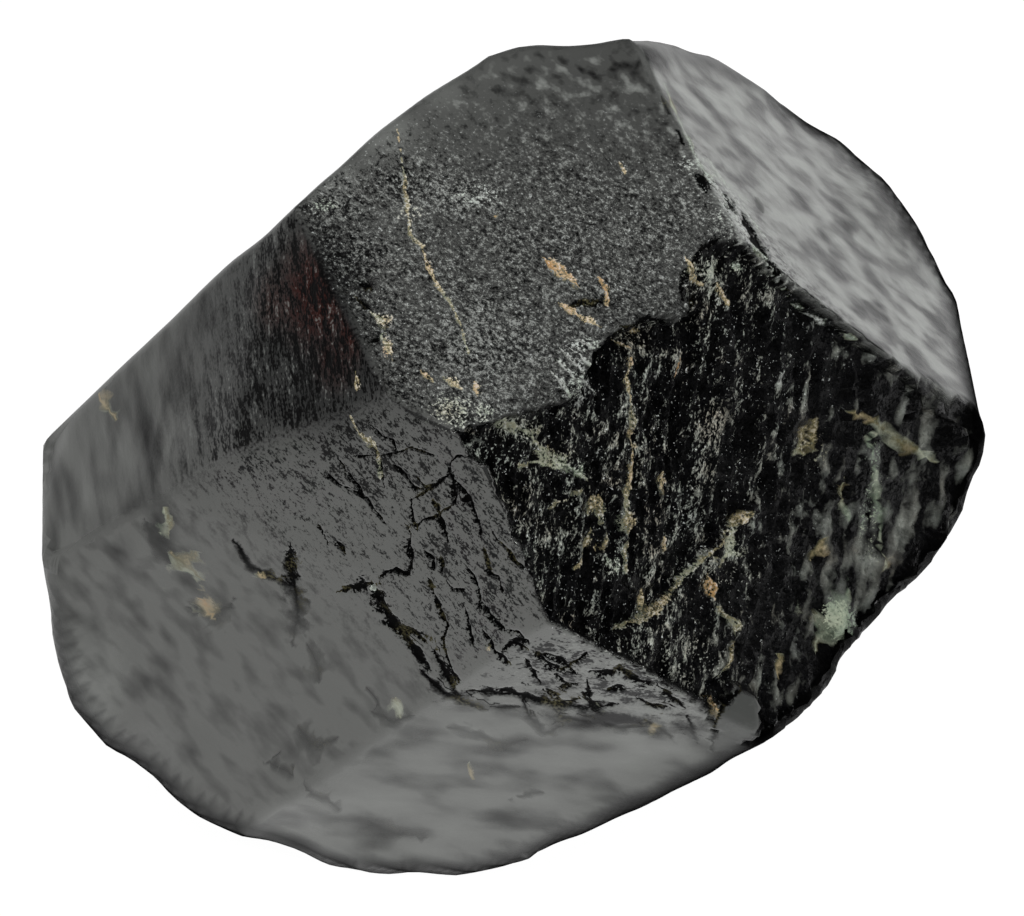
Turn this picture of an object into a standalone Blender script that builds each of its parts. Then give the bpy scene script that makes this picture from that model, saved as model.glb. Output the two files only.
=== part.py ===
"""A black tourmaline crystal, ground and polished on most sides and broken on one.

The stone is a block cut back by flat facets. Each facet is given by where it faces and how far it
lies from the heart, an inner point of the stone, as a crystal's faces are measured. The corners are
then rounded, and ledges, ribs and pits are carved into the broken face and the ground ones.
Built in metres, +Z up, resting on its flat base with the origin in the middle of its footprint.
"""

import math

import bmesh
import bpy
from mathutils import Matrix, Vector, noise

MM = 0.001

NAME = "tourmaline_crystal"

# Driving dimensions, in mm
BLOCK = 90.0            # side of the rough block, larger than the stone all round
MERGE = 0.02            # points closer than this are one point
FLAT_ENOUGH = 0.02      # a point this close to the base lies in it and isn't carved

# Radius that the edges of each finish are rounded to; an edge takes the mean of its two facets
ROUND = {"cut": 0.7, "tumbled": 3.6, "ground": 0.4, "broken": 0.3}

# The longest mesh edge on each facet, reached by halving, and how often edges are halved at most
SPACING = {"cut": 2.8, "tumbled": 2.8, "ground": 1.5, "broken": 0.95}
BASE_SPACING = 8.0
SPLIT_ROUNDS = 8

# Facets: azimuth and elevation of the way it faces in degrees, distance from the heart in mm, finish
FACETS = {
    "top": (-76, 78, 11.4, "ground"),
    "top_back": (-68, 83, 12.1, "ground"),
    "broken_front": (-53, 30, 9.4, "broken"),
    "left_front": (-116, 7, 9.8, "cut"),
    "left_front_low": (-116, 2, 9.9, "cut"),
    "front_foot": (-95, -13, 11.2, "cut"),
    "right_top": (14, 43, 16.6, "cut"),
    "left_bevel": (-147, 37, 13.2, "ground"),
    "left_bevel_out": (-156, 33, 14.0, "tumbled"),
    "left_crown": (139, 32, 16.7, "tumbled"),
    "back_left_crown": (115, 30, 19.1, "tumbled"),
    "back_crown": (98, 41, 20.7, "tumbled"),
    "back_right_crown": (81, 27, 24.8, "tumbled"),
    "right_crown_back": (66, 29, 26.0, "tumbled"),
    "right_crown": (40, 17, 28.9, "tumbled"),
    "right_side": (-1, -10, 24.2, "tumbled"),
    "right_low": (-11, -19, 22.8, "tumbled"),
    "right_foot": (-26, -40, 19.0, "tumbled"),
    "front_right_foot": (-37, -41, 19.1, "tumbled"),
    "front_low": (-68, -42, 20.5, "tumbled"),
    "front_left_foot": (-123, -46, 25.3, "tumbled"),
    "left_foot": (-141, -39, 26.6, "tumbled"),
    "left_foot_back": (-156, -30, 27.8, "tumbled"),
    "left_side": (178, -5, 25.2, "tumbled"),
    "back": (90, -2, 30.0, "tumbled"),
    "back_left": (135, -12, 24.0, "tumbled"),
    "back_right": (40, -12, 30.0, "tumbled"),
    "base": (0, -90, 26.6, "cut"),
}

# Broken face. Places are (across, up) in mm within a facet: across is level, up is up its slope,
# both from the point of the facet that is nearest to the heart.
GRAIN_LEAN = 25         # degrees that the ribs lean from straight up the slope
RIB_WIDTH, RIB_LENGTH, RIB_DEPTH = 1.3, 7.0, 0.30
CHANNEL_WIDTH, CHANNEL_LENGTH, CHANNEL_DEPTH = 4.5, 16.0, 0.55
CRUMB_SIZE, CRUMB_DEPTH = 1.1, 0.16
LEDGE = [(7.7, -4.7), (6.0, -5.4), (3.4, -6.3), (0.6, -7.4), (-2.9, -7.6)]
LEDGE_STEP, LEDGE_REACH = 0.55, 2.6
LIP = [(1.0, 6.2), (1.9, 6.7), (4.2, 6.7), (6.9, 5.9)]
LIP_DEPTH, LIP_REACH = 0.5, 1.8
WORN_REACH, WORN_SHARE = 2.4, 0.85     # how far in from a tumbled edge the carving is worn, and how much
GRAINS = [(9.9, -12.6, 1.1, 0.55), (4.4, -10.1, 0.6, 0.35), (6.9, -8.2, 0.9, 0.4)]  # across, up, radius, height

# Top. A rough pit where the top meets the broken face, and two shallow ones: across, up, radius, depth
PITS = [(10.3, 0.9, 2.0, 0.45), (4.0, 0.7, 1.0, 0.22), (-3.4, 9.5, 1.2, 0.25), (7.5, 8.6, 1.3, 0.2)]
GRIND_SIZE, GRIND_DEPTH = 1.6, 0.07

# Long shallow waves that a hand leaves on a polished stone
WAVE_SIZE, WAVE_DEPTH = 11.0, 0.10

STONE_COLOR = (0.012, 0.012, 0.012, 1.0)
STONE_ROUGHNESS = 0.3


def facing(azimuth, elevation):
    """The unit vector that a facet faces along."""
    turn, tilt = math.radians(azimuth), math.radians(elevation)
    return Vector((math.cos(turn) * math.cos(tilt), math.sin(turn) * math.cos(tilt), math.sin(tilt)))


def place_in_facet(point, name):
    """Where a point lies in a facet: across, up and the depth below its plane, all in mm."""
    azimuth, elevation, distance, _ = FACETS[name]
    out = facing(azimuth, elevation)
    across = Vector((0, 0, 1)).cross(out).normalized()
    up = out.cross(across)
    return point.dot(across), point.dot(up), distance - point.dot(out)


def fade(value, full, none):
    """1 at full, falling smoothly to 0 at none."""
    t = min(max((value - none) / (full - none), 0.0), 1.0)
    return t * t * (3 - 2 * t)


def cut_block():
    """The sharp-edged stone: a block cut back to each facet in turn. Each face keeps its facet."""
    bm = bmesh.new()
    bmesh.ops.create_cube(bm, size=BLOCK)
    facet_of = bm.faces.layers.int.new("facet")
    for number, (azimuth, elevation, distance, _) in enumerate(FACETS.values()):
        out = facing(azimuth, elevation)
        geometry = bm.verts[:] + bm.edges[:] + bm.faces[:]
        cut = bmesh.ops.bisect_plane(
            bm, geom=geometry, dist=MERGE / 10, plane_co=out * distance, plane_no=out, clear_outer=True)
        rim = [item for item in cut["geom_cut"] if isinstance(item, bmesh.types.BMEdge)]
        filled = bmesh.ops.edgeloop_fill(bm, edges=rim)
        for face in filled["faces"]:
            face[facet_of] = number
    bmesh.ops.recalc_face_normals(bm, faces=bm.faces[:])
    return bm


def refine(bm):
    """Splits long edges until each facet has its spacing, so that it can be carved."""
    spacings = [SPACING[finish] for _, _, _, finish in FACETS.values()]
    spacings[list(FACETS).index("base")] = BASE_SPACING
    facet_of = bm.faces.layers.int["facet"]
    bmesh.ops.triangulate(bm, faces=bm.faces[:])
    for _ in range(SPLIT_ROUNDS):
        long_edges = []
        for edge in bm.edges:
            if edge.calc_length() > min(spacings[face[facet_of]] for face in edge.link_faces):
                long_edges.append(edge)
        if not long_edges:
            return
        bmesh.ops.subdivide_edges(bm, edges=long_edges, cuts=1)
        bmesh.ops.triangulate(bm, faces=[face for face in bm.faces if len(face.verts) > 3])


def rounding_depth(point):
    """How far the rounding of the edges near a point takes it in, as the radius there asks for."""
    gaps = []
    for azimuth, elevation, distance, finish in FACETS.values():
        out = facing(azimuth, elevation)
        gaps.append((distance - point.dot(out), finish, out))
    gaps.sort(key=lambda item: item[0])
    _, own_finish, own_out = gaps[0]
    depth = 0.0
    for gap, finish, out in gaps[1:]:
        radius = (ROUND[own_finish] + ROUND[finish]) / 2
        reach = radius * (1 - own_out.dot(out))
        if gap < reach:
            depth += reach / 4 * (1 - gap / reach) ** 2
    return depth


def ridged(point):
    """Noise between 0 and 1 with sharp crests at 0."""
    return abs(noise.noise(point)) * 2


def line_distance(point, line):
    """Distance from a flat point to a line of points, and which side of it the point is on."""
    best, side = math.inf, 1.0
    for start, end in zip(line, line[1:]):
        start, end = Vector(start), Vector(end)
        along = end - start
        share = min(max((point - start).dot(along) / along.length_squared, 0.0), 1.0)
        offset = point - start - along * share
        if offset.length < best:
            best = offset.length
            side = math.copysign(1.0, along.cross(point - start))
    return best, side


def wear(point):
    """The share of the carving that is left at a point, less near the tumbled facets."""
    away = min(place_in_facet(point, name)[2] for name, facet in FACETS.items() if facet[3] == "tumbled")
    return 1 - WORN_SHARE * fade(away, 0.0, WORN_REACH)


def broken_depth(point):
    """How deep the broken face is carved at a point."""
    across, up, below = place_in_facet(point, "broken_front")
    there = fade(below, 0.05, 0.5)
    if there == 0:
        return 0.0
    lean = math.radians(GRAIN_LEAN)
    along = up * math.cos(lean) + across * math.sin(lean)
    side = across * math.cos(lean) - up * math.sin(lean)
    depth = RIB_DEPTH * ridged(Vector((side / RIB_WIDTH, along / RIB_LENGTH, 3.1)))
    depth += CHANNEL_DEPTH * (0.5 + noise.noise(Vector((side / CHANNEL_WIDTH, along / CHANNEL_LENGTH, 8.4))))
    depth += CRUMB_DEPTH * ridged(point / CRUMB_SIZE)
    spot = Vector((across, up))
    away, which = line_distance(spot, LEDGE)
    if which < 0:
        depth += LEDGE_STEP * fade(away, 0.0, LEDGE_REACH)
    away, which = line_distance(spot, LIP)
    if which < 0:
        depth += LIP_DEPTH * fade(away, 0.1, LIP_REACH)
    for grain_across, grain_up, radius, height in GRAINS:
        away = (spot - Vector((grain_across, grain_up))).length
        depth -= height * fade(away, 0.3 * radius, radius)
    return depth * there * wear(point)


def ground_depth(point, name):
    """How deep a ground facet is pitted at a point."""
    across, up, below = place_in_facet(point, name)
    there = fade(below, 0.05, 0.5)
    if there == 0:
        return 0.0
    depth = GRIND_DEPTH * ridged(point / GRIND_SIZE)
    if name == "top":
        for pit_across, pit_up, radius, pit_depth in PITS:
            away = math.hypot(across - pit_across, up - pit_up)
            rough = 0.6 + ridged(point / 0.7)
            depth += pit_depth * rough * fade(away, 0.4 * radius, radius)
    return depth * there * wear(point)


def carve(bm):
    """Moves each point towards the heart by the depth carved there. The base stays flat."""
    ground = [name for name, facet in FACETS.items() if facet[3] == "ground"]
    for vert in bm.verts:
        point = vert.co.copy()
        if place_in_facet(point, "base")[2] < FLAT_ENOUGH:
            continue
        depth = rounding_depth(point) + broken_depth(point)
        for name in ground:
            depth += ground_depth(point, name)
        depth += WAVE_DEPTH * noise.noise(point / WAVE_SIZE)
        vert.co = point - point.normalized() * depth


def rest_on_base(bm):
    """Turns mm into metres and moves the stone onto the ground, its footprint's middle at the origin."""
    low = Vector(min(vert.co[axis] for vert in bm.verts) for axis in range(3))
    high = Vector(max(vert.co[axis] for vert in bm.verts) for axis in range(3))
    shift = Vector(((low.x + high.x) / 2, (low.y + high.y) / 2, low.z))
    bmesh.ops.transform(bm, matrix=Matrix.Scale(MM, 4) @ Matrix.Translation(-shift), verts=bm.verts[:])


def stone_material():
    """Black tourmaline: a near-black silicate with a glassy polish."""
    material = bpy.data.materials.new("black_tourmaline")
    material.use_nodes = True
    shader = material.node_tree.nodes["Principled BSDF"]
    shader.inputs["Base Color"].default_value = STONE_COLOR
    shader.inputs["Metallic"].default_value = 0.0
    shader.inputs["Roughness"].default_value = STONE_ROUGHNESS
    return material


def main():
    for item in list(bpy.data.objects):
        bpy.data.objects.remove(item)
    collection = bpy.data.collections.new(NAME)
    bpy.context.scene.collection.children.link(collection)
    bm = cut_block()
    refine(bm)
    carve(bm)
    rest_on_base(bm)
    bmesh.ops.recalc_face_normals(bm, faces=bm.faces[:])
    mesh = bpy.data.meshes.new(NAME)
    bm.to_mesh(mesh)
    bm.free()
    mesh.materials.append(stone_material())
    collection.objects.link(bpy.data.objects.new(NAME, mesh))


if __name__ == "__main__":
    main()
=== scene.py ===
"""Dresses the tourmaline crystal: its fine surface, its finish, a lit table and the camera.

The solid in the frame has the stone's facets and its main ledges, ribs and pits. Here the same
facets are meshed finely and rounded, the broken face gets its grit, the ground top its pits and
the polished sides their cracks, and one material shows the black tourmaline with its veins.
"""

import math
from collections import namedtuple

import bmesh
import bpy
import numpy as np
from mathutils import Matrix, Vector, noise


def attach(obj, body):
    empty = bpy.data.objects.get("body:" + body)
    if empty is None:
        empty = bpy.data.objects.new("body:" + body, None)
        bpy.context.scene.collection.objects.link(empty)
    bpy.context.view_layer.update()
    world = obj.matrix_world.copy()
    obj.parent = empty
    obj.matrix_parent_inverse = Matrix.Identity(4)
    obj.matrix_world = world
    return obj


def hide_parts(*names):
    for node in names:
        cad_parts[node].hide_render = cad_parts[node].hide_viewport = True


bl_info = {
    "name": "Tourmaline Crystal",
    "version": (1, 0, 0),
    "blender": (4, 5, 0),
    "location": "3D View > Sidebar > Crystal",
    "description": "Builds the fine surface, the finish and the stage of a black tourmaline crystal",
    "category": "Add Mesh",
}

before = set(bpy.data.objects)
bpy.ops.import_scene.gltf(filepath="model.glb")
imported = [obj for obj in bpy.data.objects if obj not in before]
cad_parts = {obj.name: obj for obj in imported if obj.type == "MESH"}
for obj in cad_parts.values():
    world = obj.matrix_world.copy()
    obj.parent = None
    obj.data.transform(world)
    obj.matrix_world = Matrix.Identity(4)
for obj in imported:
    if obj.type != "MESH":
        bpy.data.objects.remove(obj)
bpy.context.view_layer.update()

NODE = "tourmaline_crystal"
MM = 0.001

# The heart is the point that every facet is measured from, as in the solid. It lies this far from
# the middle of the footprint, in mm, at the base facet's distance above the ground.
HEART_ACROSS, HEART_BACK = 0.24, -9.14

# Facets: azimuth and elevation of the way it faces in degrees, distance from the heart in mm, finish
FACETS = {
    "top": (-76, 78, 11.4, "ground"),
    "top_back": (-68, 83, 12.1, "ground"),
    "broken_front": (-53, 30, 9.4, "broken"),
    "left_front": (-116, 7, 9.8, "polished"),
    "left_front_low": (-116, 2, 9.9, "polished"),
    "front_foot": (-95, -13, 11.2, "foot"),
    "right_top": (14, 43, 16.6, "side"),
    "left_bevel": (-147, 37, 13.2, "dark_bevel"),
    "left_bevel_out": (-156, 33, 14.0, "bevel"),
    "left_crown": (139, 32, 16.4, "crown"),
    "back_left_crown": (115, 30, 19.1, "tumbled"),
    "back_crown": (98, 41, 20.7, "tumbled"),
    "back_right_crown": (81, 27, 24.8, "tumbled"),
    "right_crown_back": (66, 29, 26.0, "tumbled"),
    "right_crown": (40, 17, 28.9, "tumbled"),
    "right_side": (-1, -10, 24.2, "tumbled"),
    "right_low": (-11, -19, 22.8, "tumbled"),
    "right_foot": (-26, -40, 19.0, "tumbled"),
    "front_right_foot": (-37, -41, 19.1, "tumbled"),
    "front_low": (-68, -42, 20.5, "foot_edge"),
    "front_left_foot": (-123, -46, 25.3, "foot_edge"),
    "left_foot": (-141, -39, 26.6, "tumbled"),
    "left_foot_back": (-156, -30, 27.8, "tumbled"),
    "left_side": (178, -5, 24.9, "crown"),
    "back": (90, -2, 30.0, "tumbled"),
    "back_left": (135, -12, 24.0, "tumbled"),
    "back_right": (40, -12, 30.0, "tumbled"),
    "base": (0, -90, 26.6, "polished"),
}

# What each finish is like. Its grain runs along `way`, in degrees in the camera's picture with 0 to
# the right and 90 up, in marks `length` by `width` pixels and finer. Marks are dark where the grain
# noise is under `dark` and light where it is over `light`, `edge` is how far it takes to come in
# full, and `lift` how light the light ones are. `pale` is how much fine scratches whiten it all
# over, `relief` the height of the grain in mm, `rough` the roughness, and `gloss` the share of the
# mirror light that micro pits leave. `soft` is how far it blends into its neighbours, in mm.
Finish = namedtuple("Finish", "rounding soft way length width dark light edge lift pale relief rough gloss")
FINISHES = {
    "ground": Finish(0.8, 0.05, 145, 7, 5, 0.482, 0.530, 0.12, 0.80, 0.00, 0.030, 0.50, 0.62),
    "broken": Finish(0.4, 0.05, 80, 16, 5, 0.50, 0.553, 0.16, 0.90, 0.00, 0.150, 0.24, 0.18),
    "polished": Finish(0.8, 0.30, 132, 14, 6, 0.470, 0.90, 0.12, 0.0, 0.05, 0.008, 0.11, 1.48),
    "foot": Finish(0.8, 0.10, 174, 26, 9, 0.459, 0.53, 0.08, 0.28, 0.22, 0.008, 0.18, 1.32),
    "foot_edge": Finish(3.6, 0.60, 168, 48, 12, 0.43, 0.90, 0.11, 0.0, 0.07, 0.006, 0.22, 0.88),
    "side": Finish(0.8, 0.10, 138, 13, 4, 0.481, 0.44, 0.10, 0.68, 0.18, 0.026, 0.30, 1.00),
    "dark_bevel": Finish(8.0, 1.00, 97, 30, 7, 0.56, 0.62, 0.06, 0.60, 0.00, 0.030, 0.34, 0.16),
    "bevel": Finish(8.0, 1.60, 97, 30, 7, 0.510, 0.57, 0.08, 0.22, 0.09, 0.008, 0.30, 1.72),
    "crown": Finish(1.0, 1.60, 132, 30, 12, 0.44, 0.60, 0.16, 0.3, 0.15, 0.014, 0.50, 1.00),
    "tumbled": Finish(3.6, 0.60, 132, 30, 12, 0.42, 0.90, 0.16, 0.0, 0.03, 0.012, 0.55, 0.60),
}
SHARP_EDGED = ("ground", "broken", "crown")      # these keep their own small rounding at every edge
ROUGH_FINISHES = ("ground", "broken", "side")    # their marks stay sharper where they are worn
SHALLOW_MARKED = ("polished", "tumbled", "crown")

# The camera's picture, in pixels, and the lens. Pixel places below are in this picture.
PICTURE = (1024, 916)
SENSOR = 36.0               # mm
PIXELS_PER_MM = 21.0        # at the point the camera looks at
CAMERA_DISTANCE = 235.0     # mm
CAMERA_ELEVATION = 45.0     # degrees
LOOK_OUT = 13.0             # mm from the heart towards the camera to the point it looks at

# Lights: size and place in metres, and the light of the surroundings below and above the horizon
SOFT_BOX, KEY_LIGHT = (2.0, (0.0, 0.0, 0.6)), (0.05, (0.35, -0.35, 0.45))
ROOM_LIGHT = (1.1, 0.12)

CORNER_POWER = 6            # how far the nearest neighbour alone rounds a corner, 1 all of them alike
MESH_CELLS = 128            # squares along each side of the six patches of the fine mesh
CROWDING = 0.55             # below 1, the mesh is finer on the camera's side
DEPTH_SHARE = 0.3           # how fast the grain changes away from the camera, as a share of its rate across
FINE_GRAIN = 6.5            # finest grains per mm
GRAIN_OCTAVES = 3.0         # each half as large as the one before
GRAIN_CELLS = 5.5           # grains of the broken face per mm, each turned its own way
GRAIN_TURN = 0.8            # how far they are turned
BROKEN_BORDER = (-0.03, 0.03)           # mm inside its border from which to which it comes in
GROUND_BORDER = (0.00, 0.06)            # the same for the ground top
FINE_SHARE = (0.32, 0.20)   # fine grain added to the long marks, on other finishes and on that face
BRIGHT_GRAINS = (0.66, 0.71)            # fine noise from which and in full from which grains glint
TOURMALINE_IOR = 1.64
MIRROR_TINT = (0.985, 1.0, 0.945)       # colour of the mirror light
BROKEN_GLOSS = (0.18, 4.5)  # mirror light of the broken face's dark stone and of its light marks
GLINT_GLOSS = 8.0           # what a bright grain adds to that
HOLLOW_GLOSS = 0.03         # share of the mirror light that is left in pits and cracks
MIRROR_LEVELS = (0.5, 0.02)             # the same at low angles: outside them and deep inside
FILLED_ROUGH = 0.60         # roughness of veins, crusts and cracks
VEIN_WIDTHS = (2.2, 1.5)    # half widths that a vein's ragged edge reaches, worn smooth and crisp
CRACK_WIDTHS = (3.0, 1.3)   # the same for a crack
GRAIN_WORN = 0.42           # the grain's rate where it is worn smooth, as a share of the fresh rate
WORN_DARK = 0.064           # how much further up the grain noise the dark marks reach there
GRAIN_CRISP = (0.35, 1.00)  # strength of each finer octave to the one before, worn smooth and fresh
WORN_DEPTH = (-1.0, 5.5)    # mm towards the camera from the heart: fine marks are worn away to fresh
RIDGE_LIGHT = 0.22          # painted light: how much sooner light marks come on the ridges of the broken face
HOLLOW_DARK = 0.10          # painted shade: how much sooner dark marks come in its hollows
PATCHY = 0.05               # how much the broken face's light marks thin out and crowd by patches
LEDGE_MOST = 0.5            # mm that the faces beside the broken one stand over it at its drawn edge
PITTED_MORE = 0.035         # how much further up the grain noise the dark marks reach there
SCUFF_AND_HIGHLIGHT_MORE = 0.05         # how much further down the light marks reach there
QUIET_MORE = 0.05           # how much further up the light marks of the broken face start there
WORN_LIGHT = 0.05           # how much further down they start where it is worn smooth
WORN_EDGES = (1.1, 3.4)     # how much softer marks are there, on the rough finishes and on the others
PATCH_LOSS = 0.6            # share of the mirror light that the small polished patch loses at low angles
MARK_DEPTHS = (0.15, 0.55)  # share of that light that dark marks lose, on shallow finishes and others
PITTED_EDGE = 0.6           # share by which pits are sharper where the polish is pitted more
WORN_LIFT = 0.4             # how light the broken face's marks stay where they are worn smooth
BORDER_SHADE = 0.05         # painted shadow: how much further up they start along its border, under the faces that stand over it
WAVES = 0.04                # mm that the whole surface waves
RAGGED = 0.13               # mm that the border of the broken face wavers
BROKEN_REACH = 1.6          # mm below its own plane that the broken face reaches on its neighbours

# Noise of the broken face in mm, aside, along and below its grain, and of its grit
RIB_SIZE, FINE_RIB_SIZE, CHANNEL_SIZE = (1.3, 7.0, 5.0), (0.5, 2.2, 1.6), (4.5, 16.0, 9.0)
GRIT_SIZE, RAGGED_SIZE = 0.75, 0.6
GROUND_SIZE, GROUND_DEPTH = 0.55, 0.07      # mm, of the ground top's grain
BEVEL_SIZE, BEVEL_DEPTH = (0.8, 4.5, 3.0), 0.012

# Broken face, in mm, places (across, up) in the facet as in the solid. Its grain leans from
# upright by GRAIN_LEAN degrees.
GRAIN_LEAN = 25
LEDGE = [(7.7, -4.7), (6.0, -5.4), (3.4, -6.3), (0.6, -7.4), (-2.9, -7.6)]
LEDGE_STEP, LEDGE_REACH = 0.55, 2.6
LIP = [(1.0, 6.2), (1.9, 6.7), (4.2, 6.7), (6.9, 5.9)]
LIP_DEPTH, LIP_REACH = 0.55, 1.8
GRAINS = [(9.9, -12.6, 1.1, 0.55), (4.4, -10.1, 0.6, 0.35), (6.9, -8.2, 0.9, 0.4)]
PITS = [(10.3, 0.9, 2.0, 0.45), (4.0, 0.7, 1.0, 0.22), (-3.4, 9.5, 1.2, 0.25), (7.5, 8.6, 1.3, 0.2)]

# Where the broken face ends, as pixel places
BROKEN_OUTLINE = [
    (455, 430), (490, 424), (520, 412), (548, 408), (575, 398), (590, 372), (593, 352), (609, 338),
    (640, 325), (656, 319), (673, 322), (690, 316), (684, 296), (690, 268), (706, 246), (738, 238),
    (770, 270), (800, 296), (860, 340), (920, 378), (1000, 420), (1030, 600), (900, 720), (790, 750),
    (760, 746), (737, 743), (715, 732), (700, 704), (668, 684), (640, 664), (606, 652), (570, 632),
    (545, 620), (536, 588), (520, 550), (505, 505), (490, 468), (470, 458),
]
# How far veins and cracks widen and narrow: amount, mm, seed, least and most
VEIN_SWING, CRACK_SWING = (1.1, 0.8, 14.0, 0.30, 2.2), (1.2, 0.7, 15.0, 0.50, 2.0)

# A small polished patch at the foot of the broken face
POLISHED_PATCH = [(715, 712), (738, 690), (759, 696), (760, 736), (740, 747), (713, 747)]

# Veins: tint (0 grey, 0.2 green, 0.4 pale, 0.5 dull, 0.75 tan, 1 orange), width in pixels, and the
# pixel places that it runs through, across and down in turn
VEINS = [
    (0.6, 3.0, 397, 135, 405, 181, 408, 212, 410, 234, 422, 247, 427, 264, 439, 287, 452, 306, 461, 325,
     468, 352), (0.95, 9.0, 551, 263, 560, 270, 574, 281), (0.85, 4.0, 600, 278, 607, 289, 608, 300),
    (0.7, 4.5, 562, 304, 578, 314, 601, 327), (1.0, 5.0, 496, 216), (0.75, 3.0, 621, 160, 626, 170),
    (0.45, 9.0, 379, 318, 384, 322), (0.5, 8.0, 385, 342, 389, 350), (0.75, 3.5, 423, 372, 432, 379),
    (0.7, 4.0, 444, 378, 460, 388), (0.85, 4.0, 475, 383, 477, 391),
    (0.7, 4.5, 684, 255, 695, 274, 711, 287), (0.75, 4.0, 726, 287, 734, 304),
    (0.35, 9.0, 507, 422, 532, 433, 550, 451, 567, 463, 583, 473, 597, 482),
    (0.4, 5.0, 526, 467, 548, 463, 562, 469), (0.55, 5.0, 560, 508, 587, 494),
    (0.65, 4.0, 642, 329, 650, 333), (0.7, 4.0, 624, 342, 640, 351),
    (0.7, 4.5, 636, 359, 633, 380, 636, 402), (0.55, 3.5, 636, 402, 637, 433),
    (0.72, 5.5, 637, 433, 638, 451, 639, 469, 636, 484),
    (0.6, 6.0, 636, 484, 632, 498, 633, 516, 635, 539, 630, 555, 632, 571), (0.6, 4.0, 601, 500, 597, 516),
    (0.6, 4.0, 607, 500, 607, 524), (0.6, 4.0, 613, 535, 609, 563),
    (0.6, 4.5, 599, 533, 593, 553, 583, 571), (0.75, 7.0, 671, 480, 673, 494),
    (0.7, 4.0, 673, 540, 674, 550), (1.0, 4.0, 688, 363, 686, 378),
    (0.6, 5.0, 759, 513, 740, 529, 726, 551, 705, 569, 687, 590, 666, 613, 646, 625, 629, 632),
    (0.45, 9.0, 742, 534, 738, 552, 733, 562), (0.85, 6.0, 719, 576, 721, 598),
    (0.5, 8.0, 742, 624, 741, 632), (0.6, 6.0, 725, 610, 736, 619),
    (0.6, 4.5, 742, 643, 736, 664, 727, 678), (0.6, 4.0, 652, 594, 652, 611),
    (0.65, 6.0, 788, 657, 786, 674), (0.65, 8.0, 829, 541, 821, 562),
    (0.55, 11.0, 864, 417, 880, 424, 897, 431, 940, 462),
    (0.2, 6.0, 873, 440, 881, 474, 886, 510, 888, 540, 891, 572), (0.3, 5.0, 854, 470, 848, 497, 855, 520),
    (0.55, 9.0, 822, 428, 820, 450), (0.45, 7.0, 812, 432, 806, 452), (0.3, 18.0, 850, 604, 834, 642),
    (0.8, 9.0, 712, 706, 718, 711), (0.52, 3.5, 350, 417, 359, 434, 377, 450, 380, 477),
    (0.6, 4.0, 355, 371, 356, 388), (0.9, 20.0, 178, 558, 192, 570), (0.55, 9.0, 165, 508, 170, 530),
    (1.0, 16.0, 203, 603, 206, 607), (0.7, 7.0, 469, 768, 471, 778), (0.85, 6.0, 259, 574, 264, 578),
    (1.0, 15.0, 103, 404, 106, 407), (0.8, 6.0, 656, 730), (0.85, 5.0, 489, 649),
    (0.5, 8.0, 396, 700, 399, 712), (0.75, 6.0, 599, 706),
    (0.05, 3.0, 664, 84, 680, 122, 698, 162, 725, 199, 755, 250, 786, 291),
    (0.0, 3.0, 721, 203, 740, 226, 752, 243, 782, 277), (0.05, 2.5, 786, 291, 808, 310, 830, 325, 874, 348),
    (0.04, 2.5, 708, 160, 736, 200, 764, 236), (0.02, 2.5, 560, 347, 572, 358, 584, 373),
    (0.04, 2.5, 566, 345, 580, 354, 592, 367), (0.02, 2.5, 558, 360, 570, 372, 582, 388),
    (0.0, 2.5, 571, 371, 586, 380, 598, 392), (0.03, 2.5, 552, 372, 563, 383, 570, 396),
    (0.05, 2.5, 580, 340, 594, 348),
]
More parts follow.
